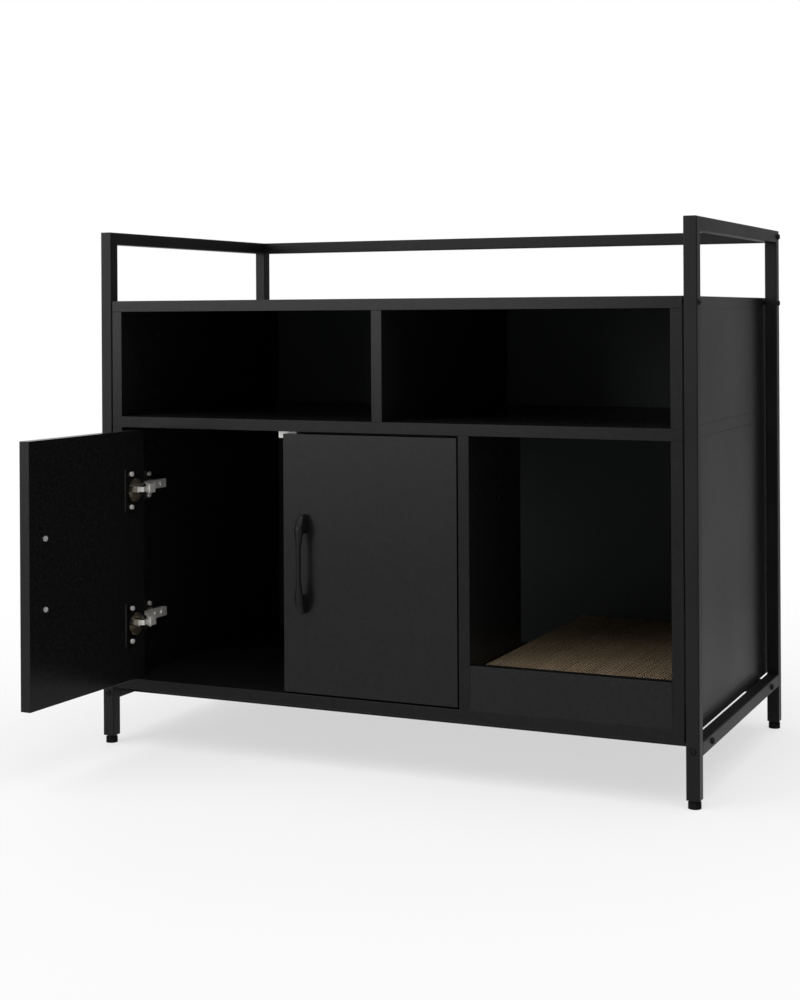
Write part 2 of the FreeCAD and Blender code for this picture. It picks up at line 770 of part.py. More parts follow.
def boards(holes):
    """Flat boards, side panels, dividers and the sill."""
    for sign, out in ((-1, "+X"), (1, "-X")):
        for place in ("front_post_middle", "back_post_middle"):
            holes["top_board"].append(
                rod(out, "board_screw_radius + thread_fit",
                    "board_screw_length - tube_size - board_gap + joint_fit",
                    "%d * board_end" % sign, place, "top_middle"))
    depth = ("front", "board_back")
    full = ("-board_end", "board_end")
    board("bottom_board", full, depth, ("floor_bottom", "floor_top"), holes["bottom_board"])
    board("middle_shelf", full, depth, ("shelf_bottom", "shelf_top"), holes["middle_shelf"])
    board("top_board", full, depth, ("top_bottom", "top_top"), holes["top_board"])
    for name, (middle, _cam_side, bottom, top, depth_end, _shift) in UPRIGHTS.items():
        thickness = ("%s - board_thickness / 2" % middle, "%s + board_thickness / 2" % middle)
        board(name, thickness, ("front", depth_end), (bottom, top), holes[name])
    board("sill_board", ("divider_right", "side_inner"), ("front", "front + board_thickness"),
          ("floor_top", "floor_top + sill_height"), holes["sill_board"])


def stop(holes):
    """The block behind the doors' meeting line that both doors close against."""
    middle = "stop_front + stop_depth / 2"
    bottom = "shelf_bottom - stop_height"
    screws = []
    bores = []
    for sign in (-1, 1):
        x = "meeting_line + %d * stop_screw_pitch / 2" % sign
        screws.append(headed("-Z", x, middle, bottom, "small_screw_radius", "stop_screw_length",
                             "small_screw_head_radius", "small_screw_head_height"))
        bores.append(rod("+Z", "small_screw_radius + thread_fit", "stop_height + 2 * past",
                         x, middle, bottom + " - past"))
        holes["middle_shelf"].append(rod("+Z", "small_screw_radius + thread_fit",
                                         "stop_screw_length - stop_height + joint_fit",
                                         x, middle, "shelf_bottom"))
    block = eased_box(("meeting_line - stop_width / 2", "meeting_line + stop_width / 2"),
                      ("stop_front", "stop_front + stop_depth"), (bottom, "shelf_bottom"))
    node("door_stop", cut(block, bores))
    group("door_stop_screws", screws)


# ---------------------------------------------------------------- doors, hung from their hinge lines

# side: direction from the hinge line to the door's free edge, hinge line, angle at rest
DOORS = {"left": (1, "left_hinge_line", "-left_door_opening"), "right": (-1, "right_hinge_line", None)}
HINGE_LEVELS = ("lower_hinge", "upper_hinge")


def mirrored(sign, text):
    """An across-the-door place, counted from the hinge line towards the free edge."""
    return "%d * (%s)" % (sign, text)


def across(sign, low, high):
    """The same for a range, low end first."""
    ends = (mirrored(sign, low), mirrored(sign, high))
    return ends if sign > 0 else ends[::-1]


def hang(item, side):
    """Move a piece that is drawn at a closed door's hinge line to its place at rest."""
    _sign, line, angle = DOORS[side]
    if angle:
        item.Placement = FreeCAD.Placement(Vector(), Rotation(Vector(0, 0, 1), 1))
        bind(item, "Placement.Rotation.Angle", angle)
    return put(item, line, "hinge_line_depth")


def hinge_cup(sign, level):
    """A cup with its screw flange and the two cheeks that guide the link's tip pin."""
    x = mirrored(sign, "cup_middle")
    corners = [("flange_end", "-flange_length / 2"), ("flange_end", "flange_length / 2"),
               ("flange_end - flange_width", "flange_length / 2"),
               ("flange_end - flange_width", "-flange_length / 2")]
    flange = outline_pad([(mirrored(sign, along), up) for along, up in corners],
                         "flange_thickness", "flange_corner")
    flange.Placement = FreeCAD.Placement(Vector(), Rotation(Vector(1, 0, 0), 90))
    pieces = [
        rod("+Y", "cup_radius", "cup_depth + flange_thickness", x, "cup_floor", level),
        rod("+Y", "cup_radius + cup_wall", "flange_thickness", x, "door_back", level),
        put(flange, 0, "door_back + flange_thickness / 2", level),
    ]
    hollow = [rod("+Y", "cup_radius - cup_wall", "2 * cup_depth", x, "cup_floor + cup_wall", level)]
    for end in (-1, 1):
        hollow.append(rod("+Y", "small_screw_radius + thread_fit", "flange_thickness + 2 * past",
                          mirrored(sign, "cup_screw_line"), "door_back - past",
                          "%s + %d * flange_screw_pitch / 2" % (level, end)))
    shell = cut(join(pieces), hollow)
    cheeks = []
    for near, far in (("cup_cheek_gap", "cup_cheek_gap + cup_cheek_wall"),
                      ("-(cup_cheek_gap + cup_cheek_wall)", "-cup_cheek_gap")):
        cheeks.append(box(across(sign, "cheek_start", "cheek_start + cup_cheek_length"),
                          ("cup_floor + cup_wall / 2", "door_back + cup_cheek_rise"),
                          ("%s + %s" % (level, near), "%s + %s" % (level, far))))
    return join([shell] + cheeks)


def handle(side, sign):
    """A bow handle: narrow at its waist, wider and rounded at its two feet."""
    half = "handle_length / 2"
    inner = "(%s - handle_foot)" % half
    bar = "handle_standoff - handle_bar"
    profile = []
    for flip in (1, -1):
        run = [
            ("0", inner),
            ("0", half),
            ("handle_standoff - handle_shoulder", half),
            ("handle_standoff", "%s - handle_taper" % half),
        ]
        mirrored_run = [(x, "%d * (%s)" % (flip, y)) for x, y in run]
        profile.append(mirrored_run if flip > 0 else mirrored_run[::-1])
    hollow = []
    for flip in (-1, 1):
        run = [
            ("%s - handle_shoulder / 2" % bar, inner),
            (bar, "%s - handle_shoulder / 2" % inner),
        ]
        mirrored_run = [(x, "%d * (%s)" % (flip, y)) for x, y in run]
        hollow.append(mirrored_run if flip < 0 else mirrored_run[::-1])
    side_view = outline_pad(profile[0] + profile[1] + hollow[0] + hollow[1],
                            "handle_end_width + 2 * past", "handle_easing")
    side_view.Placement = FreeCAD.Placement(
        Vector(), Rotation(Vector(0, -1, 0), Vector(0, 0, 1), Vector(-1, 0, 0), "XYZ"))
    x = mirrored(sign, "handle_middle_x")
    put(side_view, x, "-hinge_depth", "handle_middle_z")
    spoon = []
    for right in (1, -1):
        run = [
            ("handle_end_width / 2", half),
            ("handle_end_width / 2", inner),
            ("handle_waist / 2", "%s - handle_shoulder" % inner),
        ]
        run = run + [(across_text, "-(%s)" % up) for across_text, up in run[::-1]]
        run = [("%d * %s" % (right, across_text), up) for across_text, up in run]
        spoon.append(run if right > 0 else run[::-1])
    front_view = outline_pad(spoon[0] + spoon[1], "3 * handle_standoff", "handle_easing")
    front_view.Placement = FreeCAD.Placement(Vector(), Rotation(Vector(1, 0, 0), 90))
    put(front_view, x, "-hinge_depth", "handle_middle_z")
    bow = document.addObject("Part::MultiCommon", "Bow")
    bow.Shapes = [side_view, front_view]
    bores = []
    for end in (-1, 1):
        bores.append(rod("-Y", "handle_screw_radius + thread_fit",
                         "handle_screw_length - door_thickness + joint_fit", x, "-hinge_depth",
                         "handle_middle_z + %d * handle_pitch / 2" % end))
    hang(node("%s_handle" % side, cut(bow, bores)), side)


def door(side):
    """One door with its handle, cups and their screws."""
    sign = DOORS[side][0]
    cup_x = mirrored(sign, "cup_middle")
    screw_x = mirrored(sign, "cup_screw_line")
    handle_x = mirrored(sign, "handle_middle_x")
    holes = []
    cups = []
    cup_screws = []
    handle_screws = []
    for level in HINGE_LEVELS:
        cups.append(hinge_cup(sign, level))
        holes.append(rod("+Y", "cup_radius + cup_fit", "cup_depth + 2 * past", cup_x,
                         "cup_floor - cup_fit", level))
        for end in (-1, 1):
            z = "%s + %d * flange_screw_pitch / 2" % (level, end)
            cup_screws.append(headed("+Y", screw_x, "flange_face", z,
                                     "small_screw_radius", "cup_screw_length",
                                     "small_screw_head_radius", "small_screw_head_height"))
            holes.append(rod("-Y", "small_screw_radius + thread_fit",
                             "cup_screw_length - flange_thickness + joint_fit", screw_x, "door_back", z))
    for end in (-1, 1):
        z = "handle_middle_z + %d * handle_pitch / 2" % end
        handle_screws.append(headed("+Y", handle_x, "door_back", z, "handle_screw_radius",
                                    "handle_screw_length", "handle_screw_head_radius",
                                    "handle_screw_head_height"))
        holes.append(rod("+Y", "handle_screw_radius + thread_fit", "door_thickness + 2 * past",
                         handle_x, "-hinge_depth - past", z))
    leaf = board("%s_door" % side, across(sign, "-hinge_inset", "door_width - hinge_inset"),
                 ("-hinge_depth", "door_back"), ("door_bottom", "door_top"), holes)
    hang(leaf, side)
    hang(group("%s_hinge_cups" % side, cups), side)
    hang(group("%s_cup_screws" % side, cup_screws), side)
    hang(group("%s_handle_screws" % side, handle_screws), side)
    handle(side, sign)


def link(side, level):
    """The bent link between cup and arm, drawn with its eye at the origin and its tip along +X."""
    sign, line, angle = DOORS[side]
    knee_y = "%d * link_knee_offset" % sign
    low = "-link_width / 2"
    solids = [
        rod("+Z", "link_eye_radius", "link_width", 0, 0, low),
        rod("+Z", "link_thickness / 2", "link_width", "link_knee_along", knee_y, low),
        rod("+Z", "link_tip_radius", "link_width", "link_length", 0, low),
        rod("+Z", "link_tip_pin_radius", "link_tip_pin_length", "link_length", 0,
            "-link_tip_pin_length / 2"),
    ]
    spans = [("0", "0", "link_knee_along", knee_y), ("link_knee_along", knee_y, "link_length", "0")]
    for x0, y0, x1, y1 in spans:
        run = "(%s) - (%s)" % (x1, x0)
        rise = "(%s) - (%s)" % (y1, y0)
        heading = "atan2(%s; %s)" % (rise, run)
        bar = document.addObject("Part::Box", "Bar")
        bind(bar, "Length", "hypot(%s; %s)" % (run, rise))
        bind(bar, "Width", "link_thickness")
        bind(bar, "Height", "link_width")
        bar.Placement = FreeCAD.Placement(Vector(), Rotation(Vector(0, 0, 1), 1))
        bind(bar, "Placement.Rotation.Angle", heading)
        put(bar, "%s + link_thickness / 2 * sin(%s)" % (x0, heading),
            "%s - link_thickness / 2 * cos(%s)" % (y0, heading), low)
        solids.append(bar)
    bore = rod("+Z", "arm_pin_radius + running_fit", "link_width + 2 * past", 0, 0, low + " - past")
    item = cut(join(solids), [bore])
    closed = "atan2(link_tip_depth - eye_y; %d * (link_tip_inset - eye_x))" % sign
    swing = " + link_turn * left_door_opening / 90" if angle else ""
    item.Placement = FreeCAD.Placement(Vector(), Rotation(Vector(0, 0, 1), 1))
    bind(item, "Placement.Rotation.Angle", closed + swing)
    return put(item, "%s + %s" % (line, mirrored(sign, "eye_x")), "hinge_line_depth + eye_y", level)


def arm(sign, line, level):
    """A pressed channel: it lies on its plate, cranks inwards and ends in a nose that carries the pin."""
    outer = [
        ("nose_left", "nose_bottom"),
        ("nose_right", "nose_bottom"),
        ("nose_right", "arm_neck + arm_step"),
        ("arm_top", "arm_crank + arm_step"),
        ("arm_top", "arm_end"),
        ("arm_base", "arm_end"),
        ("arm_base", "arm_crank"),
        ("nose_left", "arm_neck"),
    ]
    inner = [
        ("nose_left - past", "nose_bottom - past"),
        ("nose_right - arm_web", "nose_bottom - past"),
        ("nose_right - arm_web", "arm_neck + arm_step - arm_web / 2"),
        ("arm_top - arm_web", "arm_crank + arm_step - arm_web / 2"),
        ("arm_top - arm_web", "arm_end + past"),
        ("arm_base - past", "arm_end + past"),
        ("arm_base - past", "arm_crank - past"),
        ("nose_left - past", "arm_neck - past"),
    ]
    bodies = []
    for points, width, easing in ((outer, "arm_width", "board_easing"),
                                  (inner, "arm_width - 2 * arm_cheek", None)):
        body = outline_pad([(mirrored(sign, x), y) for x, y in points], width, easing)
        bodies.append(put(body, line, "hinge_line_depth", level))
    tools = [bodies[1]]
    tools.append(rod("+Z", "arm_pin_radius + thread_fit", "arm_width + 2 * past",
                     "%s + %s" % (line, mirrored(sign, "eye_x")), "hinge_line_depth + eye_y",
                     "%s - arm_width / 2 - past" % level))
    for place in ("arm_screw_front", "arm_screw_back"):
        tools.append(rod("-X" if sign > 0 else "+X", "small_screw_radius + thread_fit", "arm_height",
                         "%s + %s" % (line, mirrored(sign, "arm_top + past")),
                         "hinge_line_depth + %s" % place, level))
    return cut(bodies[0], tools)


def plate(sign, line, level):
    """A cross-shaped mounting plate with holes for its own screws and the arm's screws."""
    ends = across(sign, "panel_face", "arm_base")
    thickness = tuple("%s + %s" % (line, end) for end in ends)
    bar = box(thickness, ("hinge_line_depth + plate_start", "hinge_line_depth + plate_end"),
              ("%s - arm_width / 2" % level, "%s + arm_width / 2" % level))
    wing = box(thickness, ("hinge_line_depth + plate_wing - plate_wing_width / 2",
                           "hinge_line_depth + plate_wing + plate_wing_width / 2"),
               ("%s - plate_wing_span / 2" % level, "%s + plate_wing_span / 2" % level))
    spots = [("arm_screw_front", level), ("arm_screw_back", level)]
    for end in (-1, 1):
        spots.append(("plate_wing", "%s + %d * plate_screw_pitch / 2" % (level, end)))
    tools = []
    for place, z in spots:
        tools.append(rod("-X" if sign > 0 else "+X", "small_screw_radius + thread_fit",
                         "plate_thickness + 2 * past", "%s + %s" % (line, mirrored(sign, "arm_base + past")),
                         "hinge_line_depth + %s" % place, z))
    return cut(join([bar, wing]), tools)


def hinges(holes):
    """Arms, plates, links, pins and screws of all four hinges."""
    pins = []
    arm_screws = []
    plate_screws = []
    panels = {"left": "lower_left_side", "right": "lower_divider"}
    for side, (sign, line, _angle) in DOORS.items():
        outward = "+X" if sign > 0 else "-X"
        inward = "-X" if sign > 0 else "+X"
        arms = []
        plates = []
        links = []
        for level in HINGE_LEVELS:
            arm_top = "%s + %s" % (line, mirrored(sign, "arm_top"))
            plate_top = "%s + %s" % (line, mirrored(sign, "arm_base"))
            arms.append(arm(sign, line, level))
            plates.append(plate(sign, line, level))
            links.append(link(side, level))
            pins.append(rod("+Z", "arm_pin_radius", "arm_width",
                            "%s + %s" % (line, mirrored(sign, "eye_x")), "hinge_line_depth + eye_y",
                            "%s - arm_width / 2" % level))
            for place in ("arm_screw_front", "arm_screw_back"):
                arm_screws.append(headed(outward, arm_top, "hinge_line_depth + %s" % place, level,
                                         "small_screw_radius", "arm_screw_length",
                                         "small_screw_head_radius", "small_screw_head_height"))
            for end in (-1, 1):
                z = "%s + %d * plate_screw_pitch / 2" % (level, end)
                plate_screws.append(headed(outward, plate_top, "hinge_line_depth + plate_wing", z,
                                           "small_screw_radius", "plate_screw_length",
                                           "small_screw_head_radius", "small_screw_head_height"))
                holes[panels[side]].append(rod(
                    inward, "small_screw_radius + thread_fit",
                    "plate_screw_length - plate_thickness + joint_fit",
                    "%s + %s" % (line, mirrored(sign, "panel_face")), "hinge_line_depth + plate_wing", z))
        group("%s_hinge_arms" % side, arms)
        group("%s_hinge_plates" % side, plates)
        group("%s_hinge_links" % side, links)
    group("hinge_arm_pins", pins)
    group("hinge_arm_screws", arm_screws)
    group("hinge_plate_screws", plate_screws)


# ---------------------------------------------------------------- scratching pad and feet

def scratching_pad():
    """The corrugated block that lies on the entry bay's floor behind the sill."""
    block = eased_box(("divider_right + pad_side_gap", "side_inner - pad_side_gap"),
                      ("front + board_thickness + pad_front_gap", "board_back - pad_back_gap"),
                      ("floor_top + pad_seat", "floor_top + pad_seat + pad_thickness"))
    node("scratch_pad", block)


def feet():
    """Four screw feet and the threaded plugs in the post ends that they turn in."""
    inserts = []
    for side, x in (("left", "-tube_middle"), ("right", "tube_middle")):
        for end, y in (("front", "front_post_middle"), ("back", "back_post_middle")):
            sole = rod("+Z", "foot_radius", "foot_top", x, y, 0)
            flutes = []
            for index in range(int(number("foot_flute_count"))):
                angle = "360 * %d / foot_flute_count" % index
                flutes.append(rod("+Z", "foot_flute_radius", "foot_height",
                                  "%s + foot_radius * cos(%s)" % (x, angle),
                                  "%s + foot_radius * sin(%s)" % (y, angle), "foot_flute_radius"))
            neck = rod("+Z", "foot_neck_radius", "foot_height - foot_top / 2", x, y, "foot_top / 2")
            stud = rod("+Z", "foot_stud_radius", "foot_stud_length + foot_neck_height", x, y, "foot_top")
            node("%s_%s_foot" % (side, end), join([cut(sole, flutes), neck, stud]))
            half = "(tube_bore / 2 - plug_fit)"
            block = box(("%s - %s" % (x, half), "%s + %s" % (x, half)),
                        ("%s - %s" % (y, half), "%s + %s" % (y, half)),
                        ("post_bottom", "post_bottom + foot_insert_height"))
            bore = rod("+Z", "foot_stud_radius + running_fit", "foot_insert_height + 2 * past",
                       x, y, "post_bottom - past")
            inserts.append(cut(block, [bore]))
    group("foot_inserts", inserts)


# ---------------------------------------------------------------- build, test and write

frame()
frame_fasteners()
joint_holes = board_joints()
hinges(joint_holes)
stop(joint_holes)
back_panels(joint_holes)
boards(joint_holes)
door("left")
door("right")
scratching_pad()
feet()
document.recompute()

for item in document.Objects:
    if "Invalid" in item.State or "Error" in item.State:
        raise RuntimeError("%s (%s) did not compute" % (item.Name, item.Label))
os.makedirs("parts", exist_ok=True)
for item in NODES:
    if item.Shape.isNull() or not item.Shape.isValid():
        raise RuntimeError("%s has no valid shape" % item.Label)
    item.Shape.exportStep("parts/%s.step" % item.Label)
print(len(NODES), "pieces written")
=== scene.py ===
import json
import math

import bmesh
import bpy
import numpy as np
from mathutils import Matrix, Vector


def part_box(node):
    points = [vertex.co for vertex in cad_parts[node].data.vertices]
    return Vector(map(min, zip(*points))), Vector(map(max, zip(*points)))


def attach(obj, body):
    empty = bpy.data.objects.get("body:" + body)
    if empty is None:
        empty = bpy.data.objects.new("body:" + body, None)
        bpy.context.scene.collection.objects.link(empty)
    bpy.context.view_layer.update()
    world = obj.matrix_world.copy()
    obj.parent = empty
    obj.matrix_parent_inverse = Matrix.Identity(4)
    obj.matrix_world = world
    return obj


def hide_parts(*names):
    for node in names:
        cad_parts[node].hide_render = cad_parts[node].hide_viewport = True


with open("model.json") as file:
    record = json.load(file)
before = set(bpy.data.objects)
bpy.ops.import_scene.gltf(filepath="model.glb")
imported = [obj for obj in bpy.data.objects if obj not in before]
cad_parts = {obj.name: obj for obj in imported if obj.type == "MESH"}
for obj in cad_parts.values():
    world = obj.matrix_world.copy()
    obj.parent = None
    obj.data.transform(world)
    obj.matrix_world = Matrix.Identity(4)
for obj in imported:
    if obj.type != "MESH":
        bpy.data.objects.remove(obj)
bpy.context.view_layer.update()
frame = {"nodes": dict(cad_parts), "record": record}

# ------------------------------------------------------------------ steel frame
# Square steel tube of 18 mm. Each side's top rail is welded to its posts, and the back rail, the bottom rails
# and the cross bars are bolted on. It is powder coated black: a satin film with a fine orange peel.

FRAME_TUBES = [
    "left_front_post", "left_back_post", "right_front_post", "right_back_post",
    "left_top_rail", "right_top_rail", "back_top_rail",
    "left_bottom_rail", "right_bottom_rail", "front_cross_bar", "back_cross_bar",
]


def effect(name, outputs):
    """An empty node group for one surface effect, with an output socket for each name."""
    tree = bpy.data.node_groups.new(name, "ShaderNodeTree")
    for label, kind in outputs.items():
        tree.interface.new_socket(name=label, in_out="OUTPUT", socket_type="NodeSocket" + kind)
    return tree


def node(tree, kind, sockets, **settings):
    """Adds one shader node. A socket given as a plain value is set, one given as a socket is linked."""
    item = tree.nodes.new("ShaderNode" + kind)
    for key, value in settings.items():
        setattr(item, key, value)
    for label, value in sockets.items():
        if isinstance(value, bpy.types.NodeSocket):
            tree.links.new(value, item.inputs[label])
        else:
            item.inputs[label].default_value = value
    return item


def speckle(tree, cells_per_metre, detail=3.0, stretch=(1, 1, 1)):
    """Fractal noise from 0 to 1 on the object's own metres, squeezed along an axis by stretch."""
    place = node(tree, "TexCoord", {})
    scaled = node(tree, "Mapping", {"Vector": place.outputs["Object"], "Scale": stretch})
    grains = node(tree, "TexNoise", {"Vector": scaled.outputs["Vector"], "Scale": cells_per_metre,
                                     "Detail": detail})
    return grains.outputs["Fac"]


def graded(tree, mask, tones, start=0.3, end=0.7):
    """A colour that runs from the first tone to the second as the mask goes from start to end."""
    ramp = tree.nodes.new("ShaderNodeValToRGB")
    tree.links.new(mask, ramp.inputs["Fac"])
    for element, place, tone in zip(ramp.color_ramp.elements, (start, end), tones):
        element.position = place
        element.color = (*tone, 1)
    return ramp.outputs["Color"]


def between(tree, mask, low, high, start=0.3, end=0.7):
    """A value that runs from low to high as the mask goes from start to end."""
    scale = node(tree, "MapRange", {"Value": mask, "From Min": start, "From Max": end,
                                    "To Min": low, "To Max": high})
    return scale.outputs["Result"]


def relief(tree, height, depth, under=None):
    """The surface normal over a height map from 0 to 1 that stands depth metres high."""
    sockets = {"Height": height, "Strength": 1.0, "Distance": depth}
    if under is not None:
        sockets["Normal"] = under
    return node(tree, "Bump", sockets).outputs["Normal"]


def put_out(tree, sockets):
    """Ends a group: links each value to the output socket of its name."""
    end = tree.nodes.new("NodeGroupOutput")
    for label, value in sockets.items():
        tree.links.new(value, end.inputs[label])


def coated(name, surface, **settings):
    """A material that takes its colour, roughness and normal from an effect. Its plain numbers are set on the
    shader's own sockets."""
    material = bpy.data.materials.new(name)
    material.use_nodes = True
    tree = material.node_tree
    shader = tree.nodes["Principled BSDF"]
    for label, value in settings.items():
        shader.inputs[label.replace("_", " ")].default_value = value
    look = tree.nodes.new("ShaderNodeGroup")
    look.node_tree = surface
    tree.links.new(look.outputs["Colour"], shader.inputs["Base Color"])
    tree.links.new(look.outputs["Roughness"], shader.inputs["Roughness"])
    tree.links.new(look.outputs["Normal"], shader.inputs["Normal"])
    return material


def dress(material, names):
    """Gives CAD solids their finish on their objects' own material slots."""
    for name in names:
        for holder in frame["nodes"][name].material_slots:
            holder.link = "OBJECT"
            holder.material = material


LOOK = {"Colour": "Color", "Roughness": "Float", "Normal": "Vector"}
POWDER_TONES = ((0.0065, 0.0065, 0.007), (0.0095, 0.0095, 0.010))

powder_film = effect("powder_film", LOOK)
cloudy = speckle(powder_film, cells_per_metre=9, detail=2)
peel = speckle(powder_film, cells_per_metre=620, detail=2)
grit = speckle(powder_film, cells_per_metre=2600, detail=1)
put_out(powder_film, {
    "Colour": graded(powder_film, cloudy, POWDER_TONES, start=0.35, end=0.65),
    "Roughness": between(powder_film, cloudy, low=0.30, high=0.37),
    "Normal": relief(powder_film, grit, depth=0.000012, under=relief(powder_film, peel, depth=0.00006)),
})
powder_coat = coated("powder_coat", powder_film, Specular_IOR_Level=0.10)
dress(powder_coat, FRAME_TUBES)

# ------------------------------------------------------------------ boards
# 16 mm particle board in a black melamine film with a fine pore. Its edges carry a glued band, smoother and
# glossier than the faces. Dowels, cam locks and screws hold the boards between the posts.

EDGE_ON_BOARDS = [
    "bottom_board", "middle_shelf", "top_board", "lower_left_side", "lower_right_side",
    "upper_left_side", "upper_right_side", "centre_divider", "lower_divider",
]
FACE_ON_BOARDS = ["sill_board", "left_door", "right_door"]
FILM_TONES = ((0.0060, 0.0060, 0.0064), (0.0088, 0.0088, 0.0092))
BAND_ROUGHNESS = 0.20


def facing(tree, axis):
    """How squarely the surface faces along one of the object's axes, from 0 to 1."""
    place = node(tree, "TexCoord", {})
    parts = node(tree, "SeparateXYZ", {"Vector": place.outputs["Normal"]})
    return node(tree, "Math", {0: parts.outputs[axis]}, operation="ABSOLUTE").outputs["Value"]


def mixed(tree, mask, low, high):
    """A value between two others, by a mask from 0 to 1."""
    return node(tree, "Mix", {0: mask, 2: low, 3: high}).outputs[0]


def melamine_film(name, front_is_band):
    """The film of a board: grain colour, gloss and pore, with the band where the board shows its edge. That
    is the front of most boards, and every side but front and back on those that stand across the front."""
    film = effect(name, LOOK)
    smudge = speckle(film, cells_per_metre=5, detail=4)
    pore = speckle(film, cells_per_metre=1500)
    mottle = speckle(film, cells_per_metre=240)
    front = facing(film, "Y")
    if front_is_band:
        band = between(film, front, low=0.0, high=1.0, start=0.6, end=0.9)
    else:
        band = between(film, front, low=1.0, high=0.0, start=0.1, end=0.4)
    face_roughness = between(film, smudge, low=0.23, high=0.29)
    put_out(film, {
        "Colour": graded(film, mottle, FILM_TONES, start=0.35, end=0.65),
        "Roughness": mixed(film, band, face_roughness, BAND_ROUGHNESS),
        "Normal": relief(film, pore, depth=0.00002),
    })
    return film


board_film = melamine_film("board_film", front_is_band=True)
front_film = melamine_film("front_film", front_is_band=False)
dress(coated("black_melamine_boards", board_film, Specular_IOR_Level=0.10), EDGE_ON_BOARDS)
dress(coated("black_melamine_fronts", front_film, Specular_IOR_Level=0.13), FACE_ON_BOARDS)

# ------------------------------------------------------------------ back panels
# Two sheets of 3 mm hardboard nailed to the boards' rear edges, faced black towards the bays.
# The fibres show as a faint felt-like fleck.

HARDBOARD_TONES = ((0.013, 0.0145, 0.016), (0.021, 0.023, 0.0255))

hardboard_face = effect("hardboard_face", LOOK)
fleck = speckle(hardboard_face, cells_per_metre=700, detail=4, stretch=(1, 1, 0.3))
felt = speckle(hardboard_face, cells_per_metre=1900, detail=2)
put_out(hardboard_face, {
    "Colour": graded(hardboard_face, fleck, HARDBOARD_TONES),
    "Roughness": between(hardboard_face, fleck, low=0.55, high=0.68),
    "Normal": relief(hardboard_face, felt, depth=0.00003),
})
dress(coated("black_hardboard", hardboard_face, Specular_IOR_Level=0.2),
      ["lower_back_panel", "upper_back_panel"])

# ------------------------------------------------------------------ handles
# Cast bow handles, narrow in the middle, with a dished oval at each end where the bow turns to the door.
# They are painted black and held by screws that come through the door from inside.

# Half of the bow's outer and inner line, from its end to its middle: height off the door, place along it.
BOW_OUTER = [(0.0, 0.0695), (0.006, 0.0695), (0.0105, 0.0695), (0.0155, 0.0640), (0.0210, 0.0540),
             (0.0210, 0.0440), (0.0210, 0.0220), (0.0210, 0.0)]
BOW_INNER = [(0.0, 0.0425), (0.004, 0.0425), (0.008, 0.0425), (0.0120, 0.0410), (0.0150, 0.0370),
             (0.0150, 0.0310), (0.0150, 0.0155), (0.0150, 0.0)]
CORNER_CUTS = 5
BOW_WAIST = 0.0066
BOW_END_WIDTH = 0.0128
BOW_SQUARENESS = 0.8
# These four are shares of the way from the bow's end to its middle.
TAPER_START = 0.30
TAPER_LENGTH = 0.36
DISH_PLACE = 0.235
DISH_SPREAD = 0.085
DISH_DEPTH = 0.0011
DOOR_OPENING = math.radians(92.2)


def rounded_line(corners, count):
    """Points along a line whose corners are cut at a quarter and three quarters of each side, and cut again
    as often as CORNER_CUTS says. They are spaced evenly by length."""
    line = np.array(corners)
    for _ in range(CORNER_CUTS):
        near = 0.75 * line[:-1] + 0.25 * line[1:]
        far = 0.25 * line[:-1] + 0.75 * line[1:]
        line = np.concatenate([line[:1], np.stack([near, far], axis=1).reshape(-1, 2), line[-1:]])
    length = np.concatenate([[0], np.cumsum(np.hypot(*np.diff(line, axis=0).T))])
    steps = np.linspace(0, length[-1], count)
    return np.stack([np.interp(steps, length, line[:, axis]) for axis in (0, 1)], axis=1)


def bow_surface(rows_per_half=56, columns=40):
    """A section spans from the bow's inner line to its outer line and is as wide as the bow there: a
    superellipse, out = sign(cos) |cos| ^ squareness, across = sign(sin) |sin| ^ squareness. The width eases
    from end to waist by 3 t^2 - 2 t^3. The outer skin sinks by a bell curve centred on each shoulder,
    exp(-((share - place) / spread)^2), which makes the dished oval."""
    outer = rounded_line(BOW_OUTER, rows_per_half)
    inner = rounded_line(BOW_INNER, rows_per_half)
    share = np.linspace(0, 1, rows_per_half)
    taper = np.clip((share - TAPER_START) / TAPER_LENGTH, 0, 1)
    width = BOW_END_WIDTH + (BOW_WAIST - BOW_END_WIDTH) * taper * taper * (3 - 2 * taper)
    outer, inner = (np.concatenate([half, (half * (1, -1))[-2::-1]]) for half in (outer, inner))
    width, share = (np.concatenate([half, half[-2::-1]]) for half in (width, share))
    turn = np.linspace(0, 2 * np.pi, columns, endpoint=False)
    out = np.sign(np.cos(turn)) * np.abs(np.cos(turn)) ** BOW_SQUARENESS
    across = np.sign(np.sin(turn)) * np.abs(np.sin(turn)) ** BOW_SQUARENESS
    middle = (outer + inner) / 2
    reach = (outer - inner) / 2
    bell = np.exp(-((share - DISH_PLACE) / DISH_SPREAD) ** 2)[:, None]
    dish = DISH_DEPTH * bell * np.clip(out, 0, 1) ** 2 * (1 - across ** 2)
    scaled = out[None, :] - dish / np.hypot(*reach.T)[:, None]
    points = np.empty((len(width), columns, 3))
    points[..., 0] = width[:, None] / 2 * across[None, :]
    points[..., 1] = middle[:, None, 0] + reach[:, None, 0] * scaled
    points[..., 2] = middle[:, None, 1] + reach[:, None, 1] * scaled
    return points


def tube_faces(rows, columns):
    """The faces of a grid that closes round its columns, with a cap at each end."""
    row, column = np.meshgrid(np.arange(rows - 1), np.arange(columns), indexing="ij")
    beside = (column + 1) % columns
    quads = np.stack([row * columns + column, row * columns + beside,
                      (row + 1) * columns + beside, (row + 1) * columns + column], axis=-1)
    caps = [list(range(columns))[::-1], list(range((rows - 1) * columns, rows * columns))]
    return quads.reshape(-1, 4).tolist() + caps


